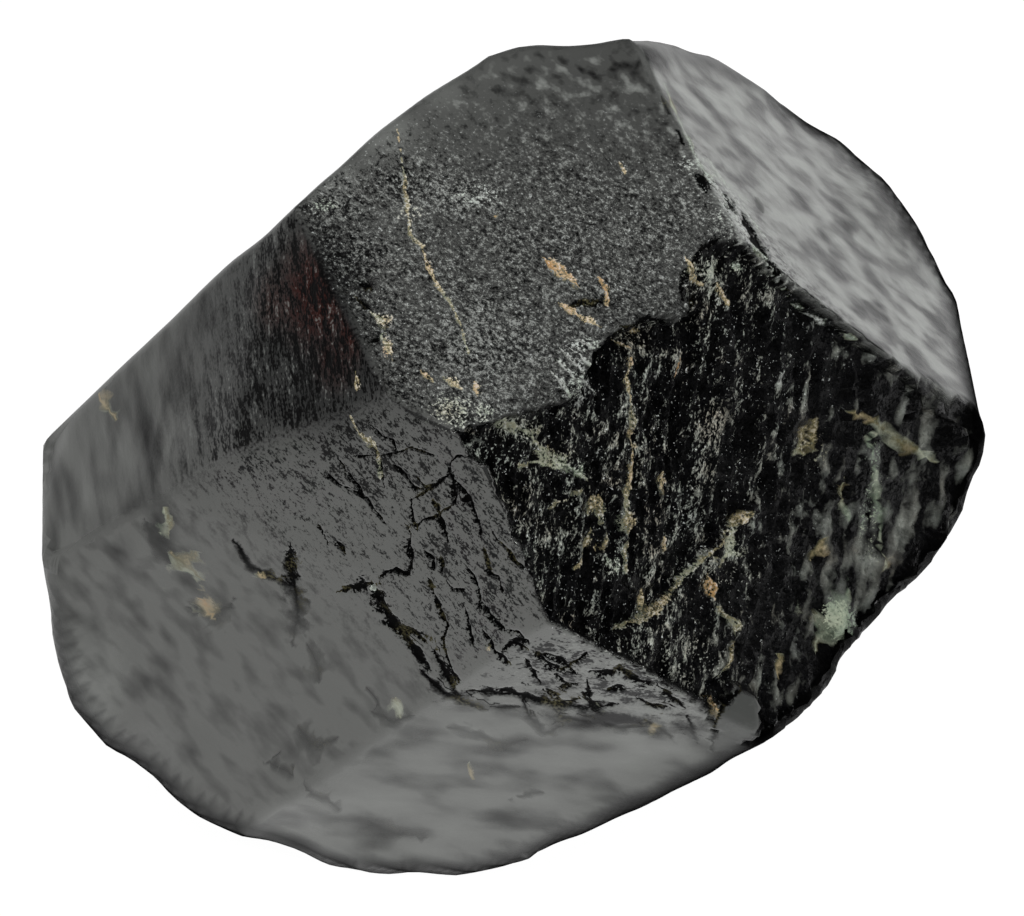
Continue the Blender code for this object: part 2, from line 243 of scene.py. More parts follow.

# Open cracks: width in pixels, and the pixel places that each runs through in the same way
# Three of them, marked below, are painted shadow lines along the broken face's top border
CRACKS = [
    (10.0, 342, 591, 361, 585, 371, 585, 381, 600, 389, 618, 400, 631, 411, 631, 425, 641),
    (3.0, 318, 525, 327, 543), (3.5, 337, 543, 345, 554),
    (3.0, 327, 474, 337, 484, 352, 490, 366, 498, 375, 511, 386, 524),
    (2.5, 337, 457, 346, 472, 359, 488, 366, 498),
    (3.0, 361, 434, 371, 447, 378, 454, 380, 465, 382, 479, 384, 487),
    (2.5, 368, 422, 380, 436, 393, 441, 396, 450), (1.8, 353, 457, 380, 456, 396, 454, 411, 448, 434, 456),
    (3.0, 393, 465, 400, 470, 407, 479, 414, 488, 425, 490),
    (3.0, 416, 477, 425, 487, 436, 486, 448, 475, 450, 463, 457, 456, 470, 458),
    (1.8, 411, 500, 418, 497, 429, 490, 443, 481),
    (3.0, 411, 500, 412, 516, 416, 527, 423, 520, 436, 517, 443, 511, 455, 504),
    (6.0, 450, 477, 457, 484, 464, 491, 471, 504, 477, 520, 480, 532), (6.0, 452, 478, 454, 490, 455, 503),
    (4.0, 432, 502, 437, 507, 441, 520, 443, 531, 448, 540),
    (4.5, 407, 527, 411, 534, 409, 545, 412, 556, 411, 568, 405, 575, 396, 570, 386, 572, 380, 577),
    (3.0, 425, 552, 432, 559, 434, 568), (3.0, 441, 557, 443, 565, 441, 572),
    (4.5, 428, 579, 434, 595, 439, 607, 443, 618, 448, 625, 443, 640, 446, 654, 452, 670, 459, 682),
    (2.5, 446, 581, 453, 590, 464, 590), (4.0, 466, 566, 473, 575, 477, 586, 480, 597, 478, 606),
    (4.0, 484, 550, 487, 563, 489, 574, 498, 577, 502, 591),
    (3.5, 493, 534, 498, 541, 507, 549, 514, 561, 523, 568), (4.5, 482, 604, 489, 615, 496, 624, 502, 629),
    (3.0, 464, 606, 468, 622, 471, 634, 473, 645), (4.5, 484, 632, 491, 640, 493, 650, 502, 657, 509, 663),
    (3.0, 509, 631, 518, 632, 523, 638), (3.5, 512, 643, 528, 650),
    (8.0, 434, 652, 446, 674, 455, 691, 461, 699), (6.0, 473, 691, 497, 694, 517, 695),
    (7.0, 523, 701, 529, 715, 536, 725, 542, 733, 552, 731), (4.5, 538, 701, 560, 704, 578, 700),
    (4.0, 495, 707, 517, 707), (6.0, 448, 727, 469, 733, 487, 739, 507, 743, 527, 739),
    (7.0, 376, 713, 392, 721, 408, 717), (12.0, 300, 728, 304, 742, 316, 748, 332, 740),
    (10.0, 270, 766, 286, 772), (7.0, 305, 788, 320, 796, 336, 806), (6.0, 372, 822, 396, 832, 424, 838),
    (5.0, 515, 798, 542, 792), (4.0, 366, 689, 376, 699, 380, 711),
    (8.0, 422, 670, 432, 683, 448, 695, 463, 701, 481, 707), (14.0, 150, 530, 158, 546, 174, 562),
    (10.0, 196, 610, 212, 618, 228, 606), (8.0, 238, 545, 251, 566, 281, 582, 294, 589),
    (12.0, 290, 556, 294, 589, 297, 608, 294, 634), (9.0, 309, 650, 317, 666, 319, 680),
    # The line from (590, 374) and the two after it follow the broken face's top border: painted shadow,
    # carved a little on the top's side
    (5.0, 560, 716, 590, 722), (7.0, 590, 374, 600, 352, 612, 338, 632, 326, 650, 318, 668, 322),
    (6.0, 684, 300, 680, 285, 688, 268, 700, 250, 715, 240), (8.0, 690, 318, 700, 308, 704, 298),
    (8.0, 572, 303, 590, 299, 608, 298), (9.0, 357, 298, 365, 304), (7.0, 360, 281, 369, 286),
    (5.0, 372, 341, 382, 338), (5.0, 703, 170, 712, 184), (5.0, 724, 196, 736, 214),
    (6.0, 744, 222, 758, 246), (5.0, 770, 262, 782, 276), (4.0, 742, 213, 758, 240, 772, 270, 789, 291),
    (6.0, 663, 100, 668, 110), (6.0, 679, 134, 684, 144), (7.0, 699, 178, 705, 188),
    (5.0, 757, 202, 763, 212), (5.0, 806, 305, 822, 318), (9.0, 400, 632, 418, 650, 430, 668),
    (5.0, 525, 658, 532, 670, 540, 683), (6.0, 536, 654, 550, 664, 565, 669, 587, 654),
    (5.0, 547, 689, 558, 698, 553, 709), (11.0, 500, 690, 522, 696, 554, 705, 583, 709),
    (6.0, 533, 712, 543, 734, 558, 727), (6.0, 583, 698, 598, 709, 612, 705),
    (5.0, 587, 680, 589, 698, 594, 712), (6.0, 591, 672, 606, 674, 620, 669, 638, 683),
    (5.0, 609, 690, 623, 687), (8.0, 649, 723, 660, 730, 672, 737), (5.0, 659, 687, 670, 698, 681, 705),
    (6.0, 627, 676, 640, 682, 656, 683), (5.0, 640, 700, 652, 706, 668, 708),
    (5.0, 604, 722, 620, 728, 636, 726), (4.0, 506, 648, 516, 640, 528, 642),
    (5.0, 556, 676, 566, 684, 578, 684), (6.0, 686, 716, 694, 730, 698, 744),
    (4.0, 545, 655, 560, 660, 574, 672), (5.0, 740, 690, 724, 704, 715, 724, 712, 748),
]

# Pale crusts of fine grains: pixel place, half width and half height in pixels, tint, strength
CRUSTS = [
    (452, 410, 26, 22, 0.3, 0.65), (484, 412, 14, 12, 0.3, 0.6), (534, 432, 26, 16, 0.3, 0.5),
    (712, 272, 30, 24, 0.4, 0.6), (480, 195, 30, 12, 0.02, 0.4), (410, 212, 16, 10, 0.4, 0.4),
    (586, 345, 22, 10, 0.05, 0.5), (578, 388, 22, 16, 0.03, 0.5), (880, 500, 14, 60, 0.18, 0.35),
    (820, 445, 16, 26, 0.5, 0.3), (736, 575, 34, 22, 0.4, 0.3), (640, 340, 24, 14, 0.5, 0.3),
    (845, 622, 17, 22, 0.22, 1.5), (324, 204, 14, 8, 0.2, 0.6), (620, 565, 14, 16, 0.25, 0.5),
    (500, 455, 30, 16, 0.05, 0.3), (700, 662, 36, 26, 0.45, 0.25), (745, 268, 8, 6, 0.05, 1.0),
    (384, 319, 9, 7, 0.6, 1.0), (387, 346, 5, 10, 0.75, 1.0), (690, 165, 18, 10, 0.05, 0.6),
    # The small one at (373, 589) on the line below is a painted glint
    (735, 215, 26, 34, 0.05, 0.3), (373, 589, 3, 3, 0.0, 3.0), (740, 545, 8, 14, 0.42, 0.8),
]

# Where brown shows through thin stone: pixel place, half width and half height in pixels, strength
BROWNS = [
    (315, 290, 42, 62, 1.0), (352, 325, 16, 44, 1.0), (278, 300, 28, 36, 0.6), (335, 360, 24, 34, 0.5),
]

# Where less of the mirror light is left, in the same way, with the share lost
DIMMED = [
    (322, 315, 60, 125, 0.92), (255, 335, 65, 105, 0.55), (148, 430, 9, 80, 0.5), (205, 400, 8, 60, 0.35),
    (162, 525, 16, 34, 0.6), (180, 556, 22, 12, 0.5), (105, 482, 14, 12, 0.35), (238, 420, 14, 40, 0.25),
    (480, 500, 60, 60, 0.06), (738, 716, 30, 34, 0.8), (125, 560, 12, 26, 0.3), (92, 525, 10, 22, 0.22),
    (300, 740, 26, 12, 0.25), (280, 768, 16, 10, 0.22), (180, 745, 40, 26, 0.1), (92, 650, 12, 30, 0.2),
]

# Where the broken face has fewer light marks, in the same way, with the amount
# Partly painted shade: the ones at (735, 370) and (690, 345) stand for a shadowed band and the shadow under
# the top's edge
QUIET = [
    (735, 370, 38, 60, 0.6), (810, 345, 60, 45, 0.7), (865, 400, 60, 40, 1.0), (780, 450, 60, 60, 0.8),
    (690, 345, 40, 14, 1.2), (615, 400, 20, 30, 0.8), (800, 590, 50, 50, 0.5), (590, 590, 20, 20, 0.5),
    (700, 300, 12, 16, 0.6), (555, 535, 50, 60, 0.45),
]

# Painted shade in a darker rim along the edge of the picture's outline: where it is full and where it ends,
# in pixels inside the outline, the share of the mirror light that it takes, the way it faces in degrees,
# and how far from the picture's middle that way it comes in, in pixels
RIM_WIDTH, RIM_LOSS = (1.0, 18.0), 0.90
RIM_WAY, RIM_FROM = -50, (-260.0, -60.0)
RIM_DARK, RIM_LIGHT = 0.45, 0.10    # how much more dark marks and fewer light ones it has

# Where the outline swells beyond the facets, or shrinks: pixel place, radius in pixels, mm
SWELLS = [
    (896, 196, 70, 0.6), (925, 248, 45, 0.3), (924, 568, 60, 0.5), (820, 695, 60, 0.6),
    (280, 222, 70, -0.2), (980, 450, 40, 0.25), (285, 845, 50, -0.25), (650, 802, 50, 0.25),
    (400, 112, 100, 0.3), (584, 46, 50, -0.2), (798, 117, 50, -0.22), (143, 767, 50, -0.3),
    (870, 625, 50, 0.2), (957, 515, 50, 0.22), (380, 873, 50, 0.2), (57, 650, 50, 0.2), (662, 44, 35, 0.25),
    (700, 778, 40, 0.2), (786, 728, 30, 0.2), (595, 828, 45, 0.18),
]

# Where the polish is pitted more than elsewhere, and where the ground top has more light marks, in the same
# way
PITTED = [
    (900, 335, 70, 50, 0.3), (470, 560, 70, 100, 0.8), (380, 460, 80, 40, 0.8), (645, 700, 80, 50, 1.3),
    (560, 660, 50, 40, 0.6), (345, 240, 35, 70, 0.6), (410, 170, 50, 40, 0.5), (600, 60, 80, 20, 0.5),
]
# Light marks of the ground top: scuffs, and at (480, 350) painted highlights where its small facets catch
# the light
SCUFFS_AND_HIGHLIGHTS = [
    (450, 192, 60, 22, 0.8), (480, 350, 60, 60, 0.8), (590, 280, 40, 30, 0.3), (520, 130, 40, 30, 0.3),
]

# Painted highlights: where the upper left edge and the left foot are painted paler for the light they
# reflect, in the same way
PAINTED_HIGHLIGHTS = [
    (92, 685, 34, 62, 0.2), (330, 180, 30, 22, 0.16), (385, 135, 34, 24, 0.2), (440, 92, 26, 20, 0.12),
]


def to_linear(code):
    """Turns an sRGB hex code into linear red, green, blue and 1 for alpha."""
    channels = [int(code[place:place + 2], 16) / 255 for place in (1, 3, 5)]
    linear = [c / 12.92 if c <= 0.04045 else ((c + 0.055) / 1.055) ** 2.4 for c in channels]
    return (*linear, 1.0)


def facing(azimuth, elevation):
    """The unit vector that a facet faces along."""
    turn, tilt = math.radians(azimuth), math.radians(elevation)
    return np.array([math.cos(turn) * math.cos(tilt), math.sin(turn) * math.cos(tilt), math.sin(tilt)])


NAMES = list(FACETS)
WORN = [FACETS[name][3] for name in NAMES]
OUTWARD = np.array([facing(azimuth, elevation) for azimuth, elevation, _, _ in FACETS.values()])
DISTANCES = np.array([facet[2] for facet in FACETS.values()])
HEART = np.array([HEART_ACROSS, HEART_BACK, FACETS["base"][2]])

TO_CAMERA = facing(-90, CAMERA_ELEVATION)
PICTURE_RIGHT = np.array([1.0, 0.0, 0.0])
PICTURE_UP = np.cross(TO_CAMERA, PICTURE_RIGHT)


def depth_of(name, what, default):
    """A depth setting, in metres."""
    return bpy.props.FloatProperty(name=name, description="How deep " + what, default=default,
                                   min=0.0, unit="LENGTH", precision=5)


class CrystalStone(bpy.types.PropertyGroup):
    """Sizes of the stone's surface."""

    grit: depth_of("Grit depth", "the grit of the broken face goes", 0.00020)
    ribs: depth_of("Rib depth", "the ribs of the broken face are", 0.00042)
    channels: depth_of("Channel depth", "the broad channels of the broken face are", 0.00055)
    cracks: depth_of("Crack depth", "the open cracks in the polished sides are", 0.00014)


def colour_of(name, what, code):
    """A colour setting, as sRGB hex."""
    return bpy.props.StringProperty(name=name, description="Colour of " + what, default=code)


class CrystalFinish(bpy.types.PropertyGroup):
    """Colours of the mineral and of what has grown in it."""

    body: colour_of("Body", "the black tourmaline", "#131314")
    ground: colour_of("Ground", "the stone ground matte", "#1f201f")
    # Also painted sheen: the ground top's light marks stand partly for glints of its small facets, and
    # painted highlights whiten towards it
    scuff: colour_of("Scuff", "the light flecks of the ground top", "#8c8f8b")
    broken: colour_of("Broken", "the broken stone", "#050506")
    fleck: colour_of("Fleck", "the flecks of the broken face", "#c3c7c1")
    # Painted shade: the colour given to the shade in pits, cracks and dark marks
    hollow: colour_of("Hollow", "the depths of pits and cracks", "#050505")
    glint: colour_of("Glint", "the bright grains", "#d9dedc")
    brown: colour_of("Brown", "thin stone that lets brown through", "#2d0d07")
    grey: colour_of("Grey grain", "the grey grains", "#a9aca8")
    green: colour_of("Green grain", "the green grains", "#7c8b77")
    pale: colour_of("Pale grain", "the pale green grains", "#b4b9a3")
    dull: colour_of("Dull grain", "the dull olive grains", "#716c4d")
    tan: colour_of("Tan vein", "the tan veins", "#b5a582")
    orange: colour_of("Rust vein", "the rusty veins", "#a87a3c")
    shade: colour_of("Vein shade", "what lies between the grains of the veins", "#2b2a1e")


class CrystalStage(bpy.types.PropertyGroup):
    """The table, its light and the light above."""

    table: bpy.props.FloatProperty(
        name="Table radius", description="Radius of the round table top", default=2.5, unit="LENGTH")
    glow: bpy.props.FloatProperty(
        name="Table glow", description="Light that the white table top gives from below", default=0.98)
    overhead: bpy.props.FloatProperty(
        name="Overhead power", description="Power of the soft box above", default=12.0, subtype="POWER")
    key: bpy.props.FloatProperty(
        name="Key power", description="Power of the small light that makes grains glint", default=0.5)


# ---- Places and distances ----

def to_picture(points):
    """The pixel places of points given in mm from the heart."""
    offset = points - LOOK_OUT * TO_CAMERA
    scale = PIXELS_PER_MM / (1 - offset @ TO_CAMERA / CAMERA_DISTANCE)
    across = PICTURE[0] / 2 + offset @ PICTURE_RIGHT * scale
    down = PICTURE[1] / 2 - offset @ PICTURE_UP * scale
    return np.stack([across, down], axis=1)


def smooth(value, none, full):
    """0 at none, rising smoothly to 1 at full."""
    t = np.clip((value - none) / (full - none), 0.0, 1.0)
    return t * t * (3 - 2 * t)


def in_facet(points, name):
    """Places across and up in a facet, in mm from its point nearest to the heart."""
    out = OUTWARD[NAMES.index(name)]
    across = np.cross((0.0, 0.0, 1.0), out)
    across /= np.linalg.norm(across)
    return points @ across, points @ np.cross(out, across)


def to_line(places, line):
    """Distance of flat places to a line, the side they are on, and how far along it they are."""
    line = np.array(line, float)
    if len(line) == 1:
        away = np.linalg.norm(places - line[0], axis=1)
        return away, np.ones(len(places)), np.full(len(places), 0.5)
    best = np.full(len(places), np.inf)
    side = np.ones(len(places))
    along = np.zeros(len(places))
    lengths = np.linalg.norm(np.diff(line, axis=0), axis=1)
    for number, (start, end) in enumerate(zip(line, line[1:])):
        step = end - start
        share = np.clip((places - start) @ step / (step @ step), 0.0, 1.0)
        offset = places - start - share[:, None] * step
        away = np.linalg.norm(offset, axis=1)
        nearer = away < best
        best[nearer] = away[nearer]
        turn = step[0] * offset[:, 1] - step[1] * offset[:, 0]
        side[nearer] = np.where(turn[nearer] < 0, -1.0, 1.0)
        run = (lengths[:number].sum() + share * lengths[number]) / lengths.sum()
        along[nearer] = run[nearer]
    return best, side, along


def inside_distance(places, outline):
    """Distance to an outline, above 0 inside it and below 0 outside."""
    closed = outline + outline[:1]
    away = to_line(places, closed)[0]
    inside = np.zeros(len(places), bool)
    for (x1, y1), (x2, y2) in zip(closed, closed[1:]):
        crosses = (places[:, 1] < y1) != (places[:, 1] < y2)
        if y1 != y2:
            at = x1 + (places[:, 1] - y1) / (y2 - y1) * (x2 - x1)
            inside ^= crosses & (places[:, 0] < at)
    return np.where(inside, away, -away)


def field(places, scale, octaves=1, seed=0.0, sharp=False):
    """Noise at places, about -1 to 1, or 0 to 1 with creases at 0 where sharp. Scale is in mm."""
    shift = Vector((seed, seed * 0.37, -seed * 0.71))
    total = np.zeros(len(places))
    size, strength = 1.0, 1.0
    for _ in range(octaves):
        step = size / np.array(scale, float)
        layer = np.array([noise.noise(Vector(place) + shift) for place in (places * step).tolist()])
        total += strength * (2 * np.abs(layer) if sharp else 1.6 * layer)
        size *= 2.1
        strength *= 0.5
        shift = shift + Vector((17.3, 5.1, 9.7))
    return total


# ---- The stone's surface ----

def sphere_directions():
    """An even ball of squares from a cube, crowded towards the camera.

    Gives the directions of its points, its squares, and the points' places on the cube.
    """
    bm = bmesh.new()
    bmesh.ops.create_cube(bm, size=2.0)
    bmesh.ops.subdivide_edges(bm, edges=bm.edges[:], cuts=MESH_CELLS - 1, use_grid_fill=True)
    bm.verts.index_update()
    cube = np.array([vert.co for vert in bm.verts])
    faces = [[vert.index for vert in face.verts] for face in bm.faces]
    bm.free()
    ball = np.tan(cube * math.pi / 4)
    ball /= np.linalg.norm(ball, axis=1)[:, None]
    lean = ball @ TO_CAMERA
    aside = ball - lean[:, None] * TO_CAMERA
    aside /= np.maximum(np.linalg.norm(aside, axis=1), 1e-9)[:, None]
    angle = 2 * np.arctan(CROWDING * np.tan(np.arccos(np.clip(lean, -1.0, 1.0)) / 2))
    return np.cos(angle)[:, None] * TO_CAMERA + np.sin(angle)[:, None] * aside, np.array(faces), cube


def rounded_surface(directions, left_out=""):
    """Points where the directions leave the rounded stone, and the way out there."""
    kept = [number for number, name in enumerate(NAMES) if name != left_out]
    outward, distances = OUTWARD[kept], DISTANCES[kept]
    rounds = np.array([FINISHES[WORN[number]].rounding for number in kept])
    sharp = np.isin([WORN[number] for number in kept], SHARP_EDGED)
    pair_round = np.where(sharp[:, None] | sharp[None, :], np.minimum(rounds[:, None], rounds[None, :]),
                          (rounds[:, None] + rounds[None, :]) / 2)
    reach = pair_round * (1 - outward @ outward.T) + np.eye(len(kept))
    lean = directions @ outward.T
    reach_out = np.where(lean > 1e-6, distances / np.maximum(lean, 1e-6), np.inf)
    radius = reach_out.min(axis=1)
    own_lean = np.take_along_axis(lean, reach_out.argmin(axis=1)[:, None], axis=1)[:, 0]
    for _ in range(6):
        level = radius[:, None] * lean - distances
        top = level.argmax(axis=1)
        highest = level.max(axis=1)
        near = np.clip(1 - (highest[:, None] - level) / reach[top], 0.0, 1.0)
        near[np.arange(len(top)), top] = 0.0
        rise = reach[top] / 4 * near ** 2
        total = (rise ** CORNER_POWER).sum(axis=1) ** (1 / CORNER_POWER)
        radius = radius - (highest + total) / np.maximum(own_lean, 0.2)
    share = near * (rise / np.maximum(total, 1e-9)[:, None]) ** (CORNER_POWER - 1)
    out = outward[top] + 0.5 * np.einsum("ij,ijk->ik", share, outward[None] - outward[top][:, None])
    out /= np.linalg.norm(out, axis=1)[:, None]
    return directions * radius[:, None], out


def facet_gap(points, name):
    """How far below a facet's plane the points lie, in mm."""
    number = NAMES.index(name)
    return DISTANCES[number] - points @ OUTWARD[number]


def gap_by_finish(points):
    """How far below the nearest facet of each finish the points lie, in mm."""
    gaps = DISTANCES - points @ OUTWARD.T
    return {finish: gaps[:, [number for number, worn in enumerate(WORN) if worn == finish]].min(axis=1)
            for finish in FINISHES}


def carve_broken(points, side, settings):
    """Depth carved into the broken face: ribs and channels along its grain, grit, ledge and lip.

    Also gives how far in a hollow each point is, about -0.4 on a ridge to 0.4; the finish paints shade into
    the hollows and light onto the ridges by it.
    """
    across, up = in_facet(points, "broken_front")
    lean = math.radians(GRAIN_LEAN)
    along = up * math.cos(lean) + across * math.sin(lean)
    aside = across * math.cos(lean) - up * math.sin(lean)
    grain = np.stack([aside, along, facet_gap(points, "broken_front")], axis=1)
    wide = field(grain, RIB_SIZE, seed=3.1, sharp=True)
    narrow = field(grain, FINE_RIB_SIZE, seed=7.7, sharp=True)
    grit = field(points, GRIT_SIZE, octaves=3, seed=1.9, sharp=True)
    depth = settings.ribs / MM * (wide + 0.6 * narrow) + settings.grit / MM * grit
    depth += settings.channels / MM * (0.5 + 0.6 * field(grain, CHANNEL_SIZE, seed=8.4))
    spots = np.stack([across, up], axis=1)
    away, which, _ = to_line(spots, LEDGE)
    ragged = away + 0.25 * field(points, RAGGED_SIZE, seed=5.0)
    depth += np.where(which < 0, LEDGE_STEP * (1 - smooth(ragged, 0.0, LEDGE_REACH)), 0.0)
    away, which, _ = to_line(spots, LIP)
    depth += np.where(which < 0, LIP_DEPTH * (1 - smooth(away, 0.1, LIP_REACH)), 0.0)
    for grain_across, grain_up, radius, height in GRAINS:
        away = np.hypot(across - grain_across, up - grain_up)
        depth -= height * (1 - smooth(away, 0.3 * radius, radius))
    hollow = 0.3 * wide + 0.3 * narrow + 0.25 * grit - 0.47
    return depth * smooth(side, -0.1, 0.35), hollow


def carve_ground(points, side):
    """Depth carved into the ground top: its grain, and pits where grains fell out."""
    across, up = in_facet(points, "top")
    depth = GROUND_DEPTH * field(points, GROUND_SIZE, octaves=3, seed=2.2, sharp=True)
    rough = field(points, 0.5, octaves=2, seed=9.0, sharp=True)
    for pit_across, pit_up, radius, pit_depth in PITS:
        away = np.hypot(across - pit_across, up - pit_up)
        depth += pit_depth * (0.5 + rough) * (1 - smooth(away, 0.3 * radius, radius))
    return depth * smooth(side, 0.0, 0.3)


def carve_bevel(points, side):
    """Depth of the fine ribs that run down the bevel left of the top."""
    across, up = in_facet(points, "left_bevel")
    grain = np.stack([across + 0.35 * up, up, across * 0], axis=1)
    depth = BEVEL_DEPTH * field(grain, BEVEL_SIZE, octaves=2, seed=4.4, sharp=True)
    return depth * smooth(side, 0.0, 0.8)


def line_field(places, lines):
    """The nearest line at each place: signed distance and distance in half widths, and its tint."""
    near = np.full(len(places), 9.0)
    signed = np.full(len(places), 9.0)
    tints = np.zeros(len(places))
    for tint, width, *line in lines:
        away, side, along = to_line(places, np.reshape(line, (-1, 2)))
        half = width / 2 * (0.45 + 0.55 * np.sin(np.pi * np.clip(along, 0.08, 0.92)))
        share = away / half
        nearer = share < near
        near[nearer] = share[nearer]
        signed[nearer] = (share * side)[nearer]
        tints[nearer] = tint
    return signed, near, tints


def drawn_lines(points, places, seen, lines, swing, scale, seed, least, most):
    """What line_field gives, for the points seen, on lines that widen and narrow along the way."""
    side, near, tint = (np.full(len(points), value) for value in (9.0, 9.0, 0.5))
    side[seen], near[seen], tint[seen] = line_field(places[seen], lines)
    opened = np.clip(0.95 + swing * field(points, scale, octaves=2, seed=seed), least, most)
    return side / opened, near / opened, tint


def blended(gaps, name):
    """A number of the finishes at each point, blended near their borders."""
    nearest = np.stack(list(gaps.values())).min(axis=0)
    shares = {finish: np.exp((nearest - gap) / FINISHES[finish].soft) for finish, gap in gaps.items()}
    total = sum(shares.values())
    return sum(getattr(FINISHES[finish], name) * share for finish, share in shares.items()) / total


def patch_field(places, patches):
    """How much of the soft round patches there is at each place, and which patch is the strongest."""
    strength = np.zeros(len(places))
    which = np.zeros(len(places), int)
    for number, (across, down, half_width, half_height, amount) in enumerate(patches):
        away = np.hypot((places[:, 0] - across) / half_width, (places[:, 1] - down) / half_height)
        here = amount * (1 - smooth(away, 0.3, 1.3))
        which[here > strength] = number
        strength = np.maximum(strength, here)
    return strength, which


def grain_places(points, places, worn):
    """Places for the grain noise, turned and stretched as each point's finish says."""
    deep = points @ TO_CAMERA * PIXELS_PER_MM * DEPTH_SHARE
    ways = np.radians([FINISHES[name].way for name in worn])
    lengths = np.array([FINISHES[name].length for name in worn])
    widths = np.array([FINISHES[name].width for name in worn])
    along = places[:, 0] * np.cos(ways) - places[:, 1] * np.sin(ways)
    aside = places[:, 0] * np.sin(ways) + places[:, 1] * np.cos(ways)
    return np.stack([along / lengths, aside / widths, deep / lengths], axis=1)


def painted_rim_shade(places):
    """How full the painted shade of the darker rim along the picture's outline is at each place, 0 to 1."""
    offset = places - np.array(PICTURE) / 2
    turn = np.floor(np.degrees(np.arctan2(offset[:, 1], offset[:, 0])) / 2).astype(int)
    order = np.linalg.norm(offset, axis=1).argsort()
    furthest = dict(zip(turn[order].tolist(), order.tolist()))
    edge_line = [tuple(places[furthest[key]]) for key in sorted(furthest)]
    way = math.radians(RIM_WAY)
    that_way = offset @ (math.cos(way), -math.sin(way))
    return (1 - smooth(inside_distance(places, edge_line), *RIM_WIDTH)) * smooth(that_way, *RIM_FROM)


def add_map(mesh, corners):
    """Adds a map over the surface: the cube's six sides in two rows of three.

    Corners are the places on the cube of each triangle's corners.
    """
    middle = corners.mean(axis=1)
    axis = np.abs(middle).argmax(axis=1)
    ahead = np.take_along_axis(middle, axis[:, None], axis=1)[:, 0] > 0
    for_axis = np.array([[1, 2], [0, 2], [0, 1]])[axis]
    flat = np.take_along_axis(corners, for_axis[:, None, :], axis=2)
    flat = 0.49 * (flat + 1) + 0.01 + np.stack([axis, ahead], axis=1)[:, None, :]
    baked = mesh.uv_layers.new(name="OFBake")
    baked.data.foreach_set("uv", (flat / (3, 2)).astype(np.float32).ravel())


